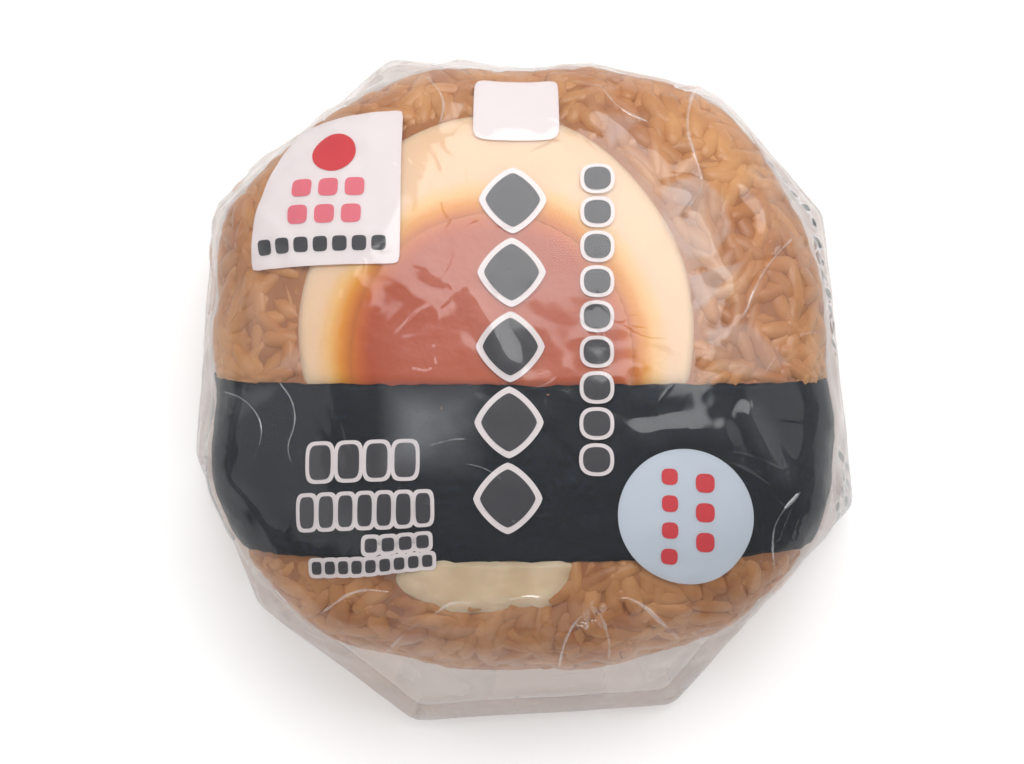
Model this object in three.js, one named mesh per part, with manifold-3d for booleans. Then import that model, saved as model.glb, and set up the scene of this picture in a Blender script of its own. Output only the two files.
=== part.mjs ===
// A round, pressed rice ball with half a soft-boiled egg, a nori band and a dab of mayonnaise in its shown
// face, sealed in clear film. It lies on its sealed back: +Z is the side of the shown face, +Y the top of the
// print, and the origin is on the table under the middle of the ball. All sizes are in millimetres.

import * as THREE from "three";
import { mergeVertices } from "three/addons/utils/BufferGeometryUtils.js";
import Module from "manifold-3d";

// The pressed ball: a disc whose section is a superellipse, pressed by hand so that it isn't quite round.
const BALL_RADIUS = 39.5;
const BALL_HEIGHT = 34;
const RIM_POWER = 3;
const BALL_MIDDLE = BALL_HEIGHT / 2;

// How far its rim bulges out, or is pressed in: bearing from +X in degrees, and distance.
const BULGES = [
  [0, -1.3], [30, 0.6], [54, 2.6], [75, 0.4], [90, -1.3], [112, 1.1],
  [130, 1.6], [152, 3.4], [170, 0.3], [184, -0.6], [203, 2.6], [232, 2.4],
  [250, -0.5], [270, -1.7], [290, -0.5], [312, 2.2], [331, 2.8], [347, 0.5],
];
const BULGE_POWER = 4; // how quickly a bulge fades from the rim to the middle of the face

// Where the film's pleats stand out from the ball: bearing from +X in degrees, distance from the axis, and
// height above the table. The film runs straight from each to the next.
const PLEATS = [
  { bearing: 30, reach: 45.5, level: 8 },
  { bearing: 56, reach: 46, level: 9 },
  { bearing: 112, reach: 46.6, level: 10 },
  { bearing: 151, reach: 46.5, level: 9 },
  { bearing: 192, reach: 43.5, level: 6 },
  { bearing: 220, reach: 44.5, level: 4 },
  { bearing: 252, reach: 45.5, level: 3 },
  { bearing: 295, reach: 45.5, level: 3 },
  { bearing: 340, reach: 45.5, level: 5 },
];
const PLEAT_ROUNDING = 4; // degrees either side over which a pleat's ridge is rounded
const FOOT_TUCK = 1.5; // how far the film draws in between a pleat and the table
const FOOT_SLOPE = 0.3; // and how much more for each millimetre of the pleat's height

// Half an egg, cut face up: the white as an ellipsoid that the film presses level, and its yolk.
const EGG = { centre: [-3.4, 2.5, 30.5], radii: [24.4, 28, 13], columns: 32, rows: 12 };
const YOLK = { centre: [-3.9, -1.5, 31.5], radii: [17.6, 18.7, 9], columns: 28, rows: 12 };

// The nori band: a strip that crosses the face below its middle and runs down both sides.
const BAND_WIDTH = 21.5;
const BAND_LOW_EDGE = -26.2;
const BAND_END_LEVEL = 9; // height above the table at which its ends stop
const BAND_THICKNESS = 0.8;
const BAND_SLANT = 0.25; // how far it moves towards +Y for each millimetre that it goes down
const BAND_POCKET_RISE = 4; // how far the cutter for its pocket stands out of the film

// Mayonnaise that is pressed out from under the band.
const MAYO = { centre: [-5.3, -26, 30.5], radii: [11.5, 5.6, 3.5], columns: 16, rows: 8 };

// Cooked rice grains that press into the film, at true size.
const GRAIN_LENGTH = 6.2;
const GRAIN_WIDTH = 2.9;
const GRAIN_SPACING = 3.5;
const GRAIN_RISE = 0.75; // how far a grain stands out of the ball
const GRAIN_TRIES = 6000;
const GRAIN_SEED = 41;
const GRAIN_MARGIN = 3.2; // how far a grain's middle keeps from the egg, the band and the mayonnaise

const GAP = 0.3; // clearance between neighbouring solids

const FULL_TURN = 2 * Math.PI;
const radians = THREE.MathUtils.degToRad;
const wasm = await Module();
wasm.setup();

// A three.js geometry as a solid that can be joined and cut.
function solidOf(geometry) {
  const bare = new THREE.BufferGeometry();
  bare.setAttribute("position", geometry.getAttribute("position"));
  bare.setIndex(geometry.index);
  const merged = mergeVertices(bare, 1e-4);
  return new wasm.Manifold(
    new wasm.Mesh({
      numProp: 3,
      vertProperties: merged.getAttribute("position").array,
      triVerts: new Uint32Array(merged.index.array),
    }),
  );
}

// A solid as a named mesh in its own colour.
function meshOf(name, solid, look) {
  const { vertProperties, triVerts } = solid.getMesh();
  const geometry = new THREE.BufferGeometry();
  geometry.setAttribute("position", new THREE.BufferAttribute(vertProperties, 3));
  geometry.setIndex(new THREE.BufferAttribute(triVerts, 1));
  geometry.computeVertexNormals();
  const mesh = new THREE.Mesh(geometry, new THREE.MeshStandardMaterial(look));
  mesh.name = name;
  return mesh;
}

// Repeatable random numbers from 0 to 1.
function randomFrom(seed) {
  let state = seed;
  return () => {
    state = (Math.imul(state, 1664525) + 1013904223) >>> 0;
    return state / 2 ** 32;
  };
}

// A place on the round ball's section, by its lean away from straight up in radians.
function ballAt(lean) {
  const along = Math.sin(lean);
  const up = Math.abs(Math.cos(lean));
  const size = (along ** RIM_POWER + up ** RIM_POWER) ** (-1 / RIM_POWER);
  return { r: BALL_RADIUS * size * along, z: BALL_MIDDLE * (1 + size * Math.cos(lean)) };
}

// The round ball's radius at a height above the table.
function roundRadiusAt(z) {
  const up = Math.min(1, Math.abs(z - BALL_MIDDLE) / BALL_MIDDLE);
  return BALL_RADIUS * (1 - up ** RIM_POWER) ** (1 / RIM_POWER);
}

// The ball's own radius where the round one's is r, at a bearing in radians.
function bulged(r, bearing) {
  const degrees = (THREE.MathUtils.radToDeg(bearing) + 360) % 360;
  const next = BULGES.findIndex((bulge) => bulge[0] > degrees);
  const [from, low] = BULGES.at(next === -1 ? -1 : next - 1);
  const [to, high] = next === -1 ? [360, BULGES[0][1]] : BULGES[next];
  const share = THREE.MathUtils.smoothstep(degrees, from, to);
  return r + (low + (high - low) * share) * (r / BALL_RADIUS) ** BULGE_POWER;
}

// The film's straight run between two pleats, seen from above, at a bearing in degrees.
function betweenPleats(bearing) {
  const turned = (bearing - PLEATS[0].bearing + 360) % 360;
  const ends = PLEATS.map((pleat, i) => ({ ...pleat, from: pleat.bearing - PLEATS[0].bearing, i }));
  const a = ends.findLast((end) => end.from <= turned);
  const b = ends[(a.i + 1) % ends.length];
  const span = (b.from - a.from + 360) % 360;
  const share = (turned - a.from) / span;
  const sine = (degrees) => Math.sin(radians(degrees));
  const spread = a.reach * sine(turned - a.from) + b.reach * sine(a.from + span - turned);
  return {
    reach: (a.reach * b.reach * sine(span)) / spread,
    level: a.level + (b.level - a.level) * share,
  };
}

// The film's section at a bearing in radians, kept for each tenth of a degree.
const knownSections = new Map();
function filmSection(bearing) {
  const degrees = Math.round(THREE.MathUtils.radToDeg(bearing) * 10) / 10;
  if (!knownSections.has(degrees)) knownSections.set(degrees, newSection(degrees));
  return knownSections.get(degrees);
}

// The film's section at a bearing in degrees: it lies on the ball as far down as touch, runs straight to the
// knee at the pleats' reach, and draws in to the foot on the table.
function newSection(degrees) {
  const STEP = 0.25;
  const around = [-PLEAT_ROUNDING, 0, PLEAT_ROUNDING].map((turn) => betweenPleats(degrees + turn));
  const reach = around.reduce((sum, place) => sum + place.reach, 0) / around.length;
  const level = around[1].level;
  const ballRadiusAt = (z) => bulged(roundRadiusAt(z), radians(degrees));
  const knee = { r: Math.max(reach, ballRadiusAt(level)), z: level };
  let touch = { z: BALL_HEIGHT, slope: -Infinity };
  for (let z = level + STEP; z < BALL_HEIGHT; z += STEP) {
    const slope = (ballRadiusAt(z) - knee.r) / (z - knee.z);
    if (slope > touch.slope) touch = { z, slope };
  }
  const foot = { r: knee.r - FOOT_TUCK - FOOT_SLOPE * level, z: 0 };
  return { touch: { r: ballRadiusAt(touch.z), z: touch.z }, knee, foot };
}

// The film's distance from the axis at a bearing in radians and a height.
function filmRadiusAt(bearing, z) {
  const { touch, knee, foot } = filmSection(bearing);
  if (z >= touch.z) return bulged(roundRadiusAt(z), bearing);
  const [low, high] = z >= knee.z ? [knee, touch] : [foot, knee];
  return low.r + ((high.r - low.r) * (z - low.z)) / (high.z - low.z);
}

// The sealed wrapper's outside as a closed solid, out to its pleats.
function wrapperBody() {
  const COLUMNS = 72;
  const DOME_ROWS = 10;
  const SIDE_ROWS = 3;
  const FOOT_ROWS = 1;
  const BASE_ROWS = 2;
  const ROWS = DOME_ROWS + SIDE_ROWS + FOOT_ROWS + BASE_ROWS;
  const geometry = new THREE.SphereGeometry(1, COLUMNS, ROWS);
  const position = geometry.getAttribute("position");
  for (let i = 0; i < position.count; i++) {
    const row = Math.floor(i / (COLUMNS + 1));
    const pole = row === 0 || row === ROWS;
    const bearing = Math.PI + (pole ? 0 : ((i % (COLUMNS + 1)) % COLUMNS) / COLUMNS) * FULL_TURN;
    const { touch, knee, foot } = filmSection(bearing);
    let r;
    let z;
    if (row <= DOME_ROWS) {
      const leanAtTouch = Math.atan2(roundRadiusAt(touch.z) / BALL_RADIUS, touch.z / BALL_MIDDLE - 1);
      ({ r, z } = ballAt((row / DOME_ROWS) * leanAtTouch));
      r = bulged(r, bearing);
    } else if (row <= DOME_ROWS + SIDE_ROWS) {
      const share = (row - DOME_ROWS) / SIDE_ROWS;
      r = THREE.MathUtils.lerp(touch.r, knee.r, share);
      z = THREE.MathUtils.lerp(touch.z, knee.z, share);
    } else if (row <= DOME_ROWS + SIDE_ROWS + FOOT_ROWS) {
      const share = (row - DOME_ROWS - SIDE_ROWS) / FOOT_ROWS;
      r = THREE.MathUtils.lerp(knee.r, foot.r, share);
      z = THREE.MathUtils.lerp(knee.z, foot.z, share);
    } else {
      r = foot.r * ((ROWS - row) / BASE_ROWS);
      z = 0;
    }
    position.setXYZ(i, r * Math.cos(bearing), r * Math.sin(bearing), z);
  }
  return solidOf(geometry);
}

// An ellipsoid that is larger by extra all round.
function ellipsoid({ centre, radii, columns, rows }, extra) {
  const geometry = new THREE.SphereGeometry(1, columns, rows);
  geometry.scale(...radii.map((radius) => radius + extra));
  geometry.translate(...centre);
  return solidOf(geometry);
}

// Where a ray from a point inside the wrapper leaves it.
function onFilm(from, ray) {
  const BISECTIONS = 22;
  let near = 0;
  let far = 2 * BALL_RADIUS;
  for (let i = 0; i < BISECTIONS; i++) {
    const middle = (near + far) / 2;
    const p = from.clone().addScaledVector(ray, middle);
    const inside = Math.abs(p.z - BALL_MIDDLE) < BALL_MIDDLE
      && Math.hypot(p.x, p.y) < filmRadiusAt(Math.atan2(p.y, p.x), p.z);
    if (inside) near = middle;
    else far = middle;
  }
  return from.clone().addScaledVector(ray, near);
}

// Half of a lengthwise line of the band, evenly stepped from the top of the film to the band's end on the
// side that sign gives. across is the line's distance from the band's lower edge, and lift its height off
// the film.
function halfBandLine(sign, across, lift, endLevel, steps) {
  const FINE_STEPS = 90;
  const LOWEST = -1.1; // radians below level, past any end
  const middle = new THREE.Vector3(0, BAND_LOW_EDGE + across + BAND_SLANT * BALL_MIDDLE, BALL_MIDDLE);
  const up = new THREE.Vector3(0, -BAND_SLANT, 1).normalize();
  const edgeways = new THREE.Vector3(0, 1, BAND_SLANT).normalize();
  const fine = [];
  for (let i = 0; i <= FINE_STEPS; i++) {
    const angle = THREE.MathUtils.lerp(Math.PI / 2, LOWEST, i / FINE_STEPS);
    const ray = new THREE.Vector3(sign * Math.cos(angle), 0, 0).addScaledVector(up, Math.sin(angle));
    const p = onFilm(middle, ray);
    if (p.z < endLevel) {
      const last = fine.at(-1);
      fine.push(last.clone().lerp(p, (last.z - endLevel) / (last.z - p.z)));
      break;
    }
    fine.push(p);
  }
  const curve = new THREE.CatmullRomCurve3(fine);
  const points = [];
  for (let i = 0; i <= steps; i++) {
    const along = curve.getTangentAt(i / steps).multiplyScalar(sign);
    const out = new THREE.Vector3().crossVectors(along, edgeways);
    points.push(curve.getPointAt(i / steps).addScaledVector(out, lift));
  }
  return points;
}

// The band as a solid between two heights off the film, grown by extra at its edges and ends.
function band(low, high, extra) {
  const STEPS = 20;
  const ACROSS = 4;
  const geometry = new THREE.BoxGeometry(2 * STEPS, ACROSS, 1, 2 * STEPS, ACROSS, 1);
  const position = geometry.getAttribute("position");
  const lines = new Map();
  for (let i = 0; i < position.count; i++) {
    const across = THREE.MathUtils.lerp(-extra, BAND_WIDTH + extra, position.getY(i) / ACROSS + 0.5);
    const lift = position.getZ(i) > 0 ? high : low;
    const key = `${across} ${lift}`;
    if (!lines.has(key)) {
      const halves = [-1, 1].map((sign) => halfBandLine(sign, across, lift, BAND_END_LEVEL - extra, STEPS));
      lines.set(key, [...halves[0].slice(1).reverse(), ...halves[1]]);
    }
    const p = lines.get(key)[Math.round(position.getX(i)) + STEPS];
    position.setXYZ(i, p.x, p.y, p.z);
  }
  return solidOf(geometry);
}

// Whether a place on the face is clear of the egg, the band and the mayonnaise.
function isBareRice(place) {
  const outside = ({ centre, radii }) =>
    Math.hypot(
      (place.x - centre[0]) / (radii[0] + GRAIN_MARGIN),
      (place.y - centre[1]) / (radii[1] + GRAIN_MARGIN),
    ) > 1;
  const across = place.y - BAND_LOW_EDGE + BAND_SLANT * (place.z - BALL_HEIGHT);
  const besideBand = across < -GRAIN_MARGIN || across > BAND_WIDTH + GRAIN_MARGIN;
  return besideBand && outside(EGG) && outside(MAYO);
}

// Rice grains over the shown face and its rim, as far as the film lies on them.
function grains() {
  const random = randomFrom(GRAIN_SEED);
  const upright = new THREE.Vector3(0, 0, 1);
  const placed = [];
  const solids = [];
  for (let i = 0; i < GRAIN_TRIES; i++) {
    const bearing = random() * FULL_TURN;
    const lean = Math.acos(1 - random());
    const turn = random() * Math.PI;
    const length = GRAIN_LENGTH * (0.85 + 0.3 * random());
    const { r, z } = ballAt(lean);
    const place = new THREE.Vector3(bulged(r, bearing), 0, z).applyAxisAngle(upright, bearing);
    if (z < filmSection(bearing).touch.z || !isBareRice(place)) continue;
    if (placed.some((other) => other.distanceTo(place) < GRAIN_SPACING)) continue;
    placed.push(place);
    const out = new THREE.Vector3(
      (r / BALL_RADIUS) ** (RIM_POWER - 1) / BALL_RADIUS,
      0,
      ((z - BALL_MIDDLE) / BALL_MIDDLE) ** (RIM_POWER - 1) / BALL_MIDDLE,
    );
    out.normalize().applyAxisAngle(upright, bearing);
    const geometry = new THREE.SphereGeometry(0.5, 6, 3);
    geometry.scale(GRAIN_WIDTH, length, GRAIN_WIDTH);
    geometry.rotateZ(turn);
    geometry.applyQuaternion(new THREE.Quaternion().setFromUnitVectors(upright, out));
    const middle = place.clone().addScaledVector(out, GRAIN_RISE - GRAIN_WIDTH / 2);
    geometry.translate(...middle.toArray());
    solids.push(solidOf(geometry));
  }
  return solids;
}

const body = wrapperBody();
const bandPocket = band(-BAND_THICKNESS - GAP, BAND_POCKET_RISE, GAP);
const pockets = wasm.Manifold.union([bandPocket, ellipsoid(EGG, GAP), ellipsoid(MAYO, GAP)]);
const wrapped = body.subtract(pockets).add(wasm.Manifold.union(grains()).subtract(pockets));
const noriBand = band(-BAND_THICKNESS, 0, 0);
const yolk = ellipsoid(YOLK, 0).intersect(body).subtract(bandPocket);
const white = ellipsoid(EGG, 0).intersect(body).subtract(ellipsoid(YOLK, GAP)).subtract(bandPocket);
const mayo = ellipsoid(MAYO, 0).intersect(body).subtract(ellipsoid(EGG, GAP)).subtract(bandPocket);

const part = new THREE.Group();
part.add(
  meshOf("wrapped_rice", wrapped, { color: 0xc08a5c, roughness: 0.45, metalness: 0 }),
  meshOf("nori_band", noriBand, { color: 0x23292b, roughness: 0.5, metalness: 0 }),
  meshOf("egg_white", white, { color: 0xf0dcc0, roughness: 0.4, metalness: 0 }),
  meshOf("egg_yolk", yolk, { color: 0xd4722e, roughness: 0.3, metalness: 0 }),
  meshOf("mayonnaise", mayo, { color: 0xe9d9b4, roughness: 0.4, metalness: 0 }),
);

export default part;
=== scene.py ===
# A round, pressed ball of seasoned rice with half a soft-boiled egg, a nori band and mayonnaise in its shown
# face, sealed in clear film. It lies on its sealed back; +Z is the side of the face, +Y the top of the print.
import math
import random

import bpy
import numpy as np
from mathutils import Matrix, Vector, noise


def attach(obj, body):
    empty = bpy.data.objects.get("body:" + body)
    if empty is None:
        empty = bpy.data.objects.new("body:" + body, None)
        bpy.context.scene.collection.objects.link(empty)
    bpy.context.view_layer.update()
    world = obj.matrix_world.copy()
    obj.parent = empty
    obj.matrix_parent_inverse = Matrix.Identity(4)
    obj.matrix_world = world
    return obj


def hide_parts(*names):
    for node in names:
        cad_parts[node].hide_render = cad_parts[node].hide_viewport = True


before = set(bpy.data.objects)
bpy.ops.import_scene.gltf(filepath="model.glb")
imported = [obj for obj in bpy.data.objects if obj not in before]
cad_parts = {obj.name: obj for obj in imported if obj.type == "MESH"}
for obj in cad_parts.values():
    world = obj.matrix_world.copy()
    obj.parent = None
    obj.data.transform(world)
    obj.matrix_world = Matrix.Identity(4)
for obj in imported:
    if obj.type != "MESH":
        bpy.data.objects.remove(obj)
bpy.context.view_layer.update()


# The pressed rice. The real ball is cooked short-grain rice, stained brown by soy sauce and broth and pressed
# in a round mould: a core of packed rice, and over it every grain that shows, laid at true size.
MM = 0.001
BALL_RADIUS = 39.5
BALL_MIDDLE = 17.0
RIM_POWER = 3.0
GRAIN_LENGTH = 7.2
GRAIN_WIDTH = 3.0
GRAIN_THICKNESS = 0.86  # as a share of its width
GRAIN_BLUNTNESS = 0.72  # 1 is an ellipse, less is blunter
GRAIN_SINK = 0.37  # how far a grain's middle lies under the surface, as a share of its width
GRAIN_UNEVENNESS = 0.6
GRAIN_SPACING = 1.86
GRAIN_TRIES = 40000
PRESSED_IN = 0.5  # how far the rice stays under the film's own surface
FLATTENED = 0.3  # what is left of a grain's height beyond that
CORE_DEPTH = 0.95
CORE_TONE = 0.35
# The core shows only down in the gaps between grains, and this much painted shade darkens it.
CORE_SHADE = 0.45
# How far the rim bulges out, or is pressed in: bearing in degrees, and distance.
BULGES = [
    (0, -1.3), (30, 0.6), (54, 2.6), (75, 0.4), (90, -1.3), (112, 1.1), (130, 1.6), (152, 3.4), (170, 0.3),
    (184, -0.6), (203, 2.6), (232, 2.4), (250, -0.5), (270, -1.7), (290, -0.5), (312, 2.2), (331, 2.8),
    (347, 0.5), (360, -1.3),
]
BULGE_POWER = 4  # how quickly a bulge fades from the rim to the middle of the face
SECTION_STEPS = 720
FACE_STEPS = SECTION_STEPS // 2


def ball_at(lean):
    along = math.sin(lean)
    up = abs(math.cos(lean))
    size = (along ** RIM_POWER + up ** RIM_POWER) ** (-1 / RIM_POWER)
    return BALL_RADIUS * size * along, BALL_MIDDLE * (1 + size * math.cos(lean))


# The ball's section as a table: radius, height, and distance along it from the middle of the face.
section = np.array([ball_at(math.pi * i / SECTION_STEPS) for i in range(SECTION_STEPS + 1)])
section_r, section_z = section[:, 0].copy(), section[:, 1].copy()
section_s = np.concatenate([[0], np.cumsum(np.hypot(np.diff(section_r), np.diff(section_z)))])
bulge_at, bulge_out = np.array(BULGES).T


def bulged(bearing, r):
    """The radius of the uneven ball where a round one has radius r."""
    degrees = np.degrees(bearing) % 360
    i = np.clip(np.searchsorted(bulge_at, degrees, side="right") - 1, 0, len(bulge_at) - 2)
    share = (degrees - bulge_at[i]) / (bulge_at[i + 1] - bulge_at[i])
    bulge = bulge_out[i] + (bulge_out[i + 1] - bulge_out[i]) * share ** 2 * (3 - 2 * share)
    return r + bulge * (r / BALL_RADIUS) ** BULGE_POWER


def how_far_out(p):
    """1 on the true ball's surface, less inside it; p is an array of places in millimetres."""
    r = np.hypot(p[..., 0], p[..., 1]) / BALL_RADIUS
    up = np.abs(p[..., 2] - BALL_MIDDLE) / BALL_MIDDLE
    return (r ** RIM_POWER + up ** RIM_POWER) ** (1 / RIM_POWER)


def out_of_ball(p):
    """The outward direction at a place on the ball's surface."""
    r = math.hypot(p[0], p[1])
    flat = (r / BALL_RADIUS) ** (RIM_POWER - 1) / BALL_RADIUS
    lift = (p[2] - BALL_MIDDLE) / BALL_MIDDLE
    up = math.copysign(abs(lift) ** (RIM_POWER - 1) / BALL_MIDDLE, lift)
    return Vector((flat * p[0] / max(r, 1e-9), flat * p[1] / max(r, 1e-9), up)).normalized()


EGG_CENTRE = (-3.4, 2.5)
EGG_RADII = (24.4, 28.0)
BAND_LOW_EDGE = -26.2
BAND_WIDTH = 21.5
BAND_SLANT = 0.25
MAYO_CENTRE = (-5.3, -26.0)
MAYO_RADII = (11.6, 5.4)
BAND_LAPS = 1.2  # how far the band, the egg and the mayonnaise reach over the grains beside them
EGG_LAPS = 0.9
MAYO_LAPS = 0.6
GRAINS_UNDER_BAND = 11  # below this height grains are laid under the band's ends too
GRAINS_DIP_ABOVE = 8  # and below this one they don't dip under it
PRESSED_UNDER = 1.1  # how much deeper things lie where the band, the egg or the mayonnaise covers them
PRESSED_OVER = 0.8  # over how far in from the edge they sink to that


def in_oval(x, y, centre, radii, less):
    return math.hypot((x - centre[0]) / (radii[0] - less), (y - centre[1]) / (radii[1] - less)) < 1


def is_covered(p):
    """Whether the egg, the band or the mayonnaise lies over a place on the rice."""
    if p[2] < BALL_MIDDLE:
        return p[2] > GRAINS_UNDER_BAND and BAND_LAPS < across_band(p) < BAND_WIDTH - BAND_LAPS
    return (
        in_oval(p[0], p[1], EGG_CENTRE, EGG_RADII, EGG_LAPS)
        or in_oval(p[0], p[1], MAYO_CENTRE, MAYO_RADII, MAYO_LAPS)
        or BAND_LAPS < across_band(p) < BAND_WIDTH - BAND_LAPS
    )


def across_band(p):
    """How far across the band a place lies, from its lower edge; p is x, y and z, numbers or arrays."""
    return p[1] - BAND_LOW_EDGE - BAND_SLANT * (2 * BALL_MIDDLE - p[2])


def mesh_piece(name, points, faces, tones=None, material=None):
    """A smooth mesh object of points in millimetres, with a value per point that its material reads."""
    mesh = bpy.data.meshes.new(name)
    mesh.from_pydata([tuple(p) for p in np.asarray(points, float) * MM], [], [tuple(f) for f in faces])
    mesh.polygons.foreach_set("use_smooth", [True] * len(mesh.polygons))
    for label, values in (tones or {}).items():
        mesh.attributes.new(label, "FLOAT", "POINT").data.foreach_set("value", np.asarray(values, "f"))
    mesh.update()
    piece = bpy.data.objects.new(name, mesh)
    bpy.context.collection.objects.link(piece)
    if material:
        mesh.materials.append(material)
    return piece


def grid_faces(rows, columns, start=0, closed=False):
    """The faces of a grid of points stored row by row; a closed grid joins its last column to its first."""
    faces = []
    for i in range(rows - 1):
        for j in range(columns if closed else columns - 1):
            k = (j + 1) % columns
            a = start + i * columns
            faces.append((a + j, a + columns + j, a + columns + k, a + k))
    return faces


class Shades:
    """A material's nodes, added and joined in one line each."""

    def __init__(self, name):
        self.material = bpy.data.materials.new(name)
        self.material.use_nodes = True
        self.tree = self.material.node_tree
        self.tree.nodes.clear()
        self.output = self.add("ShaderNodeOutputMaterial")

    def add(self, kind, settings=None, **inputs):
        node = self.tree.nodes.new(kind)
        for key, value in (settings or {}).items():
            setattr(node, key, value)
        for key, value in inputs.items():
            self.put(node, key.replace("_", " "), value)
        return node

    def put(self, node, key, value):
        socket = node.inputs[int(key[1:])] if key[0] == "#" else node.inputs[key]
        if isinstance(value, bpy.types.NodeSocket):
            self.tree.links.new(value, socket)
        elif isinstance(value, bpy.types.Node):
            self.tree.links.new(value.outputs[0], socket)
        else:
            socket.default_value = value

    def place(self):
        return self.add("ShaderNodeTexCoord").outputs["Object"]

    def attribute(self, name):
        return self.add("ShaderNodeAttribute", {"attribute_name": name}).outputs["Fac"]

    def noise(self, scale, detail=2.0, rough=0.5, warp=0.0):
        node = self.add("ShaderNodeTexNoise", Scale=scale, Detail=detail, Roughness=rough, Distortion=warp)
        self.put(node, "Vector", self.place())
        return node.outputs["Fac"]

    def math(self, operation, a, b=0.0, c=0.0, clamp=False):
        node = self.add("ShaderNodeMath", {"operation": operation, "use_clamp": clamp})
        for i, value in enumerate((a, b, c)):
            self.put(node, f"#{i}", value)
        return node.outputs[0]

    def step(self, value, low, high, to_low=0.0, to_high=1.0):
        node = self.add("ShaderNodeMapRange", {"interpolation_type": "SMOOTHSTEP"})
        for i, v in enumerate((value, low, high, to_low, to_high)):
            self.put(node, f"#{i}", v)
        return node.outputs[0]

    def blend(self, share, a, b, kind="MIX"):
        node = self.add("ShaderNodeMix", {"data_type": "RGBA", "blend_type": kind})
        self.put(node, "#0", share)
        self.put(node, "#6", a)
        self.put(node, "#7", b)
        return node.outputs[2]

    def ramp(self, value, stops):
        """Colours that run evenly from one stop to the next; a stop is a place from 0 to 1 and a colour."""
        node = self.add("ShaderNodeValToRGB", Fac=value)
        points = node.color_ramp.elements
        while len(points) < len(stops):
            points.new(0.5)
        for point, (place, tint) in zip(points, stops):
            point.position, point.color = place, tint
        return node.outputs[0]

    def relief(self, height, distance, strength=1.0, normal=None):
        node = self.add("ShaderNodeBump", Strength=strength, Distance=distance, Height=height)
        if normal:
            self.put(node, "Normal", normal)
        return node.outputs[0]

    def done(self, shader):
        self.put(self.output, "Surface", shader)
        return self.material


def colour(red, green, blue):
    """A colour as seen, 0 to 255, as Blender's linear colour."""
    def linear(v):
        v /= 255
        return v / 12.92 if v <= 0.04045 else ((v + 0.055) / 1.055) ** 2.4
    return (linear(red), linear(green), linear(blue), 1.0)


def seasoned_rice():
    s = Shades("seasoned_rice")
    tone = s.attribute("tone")
    deep = s.attribute("depth")
    body = s.blend(tone, colour(166, 103, 56), colour(208, 147, 91))
    cloud = s.step(s.noise(260, 3, 0.6), 0.35, 0.7)
    body = s.blend(s.math("MULTIPLY", cloud, 0.3), body, colour(232, 182, 124))
    soaked = s.step(s.noise(80, 3, 0.6), 0.48, 0.68)
    body = s.blend(s.math("MULTIPLY", soaked, 0.4), body, colour(166, 90, 44))
    fresh = s.step(s.noise(60, 2, 0.5), 0.5, 0.32)
    body = s.blend(s.math("MULTIPLY", fresh, 0.35), body, colour(232, 178, 118))
    # Painted shade: the deeper a point lies, down in the gaps between grains and on the core, the darker it
    # is.
    body = s.blend(deep, body, colour(136, 74, 36))
    relief = s.relief(s.noise(900, 2, 0.5), 0.00006)
    shader = s.add(
        "ShaderNodeBsdfPrincipled",
        Base_Color=body,
        Roughness=0.36,
        IOR=1.42,
        Normal=relief,
    )
    shader.inputs["Coat Weight"].default_value = 0.15
    shader.inputs["Coat Roughness"].default_value = 0.2
    return s.done(shader)


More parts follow.
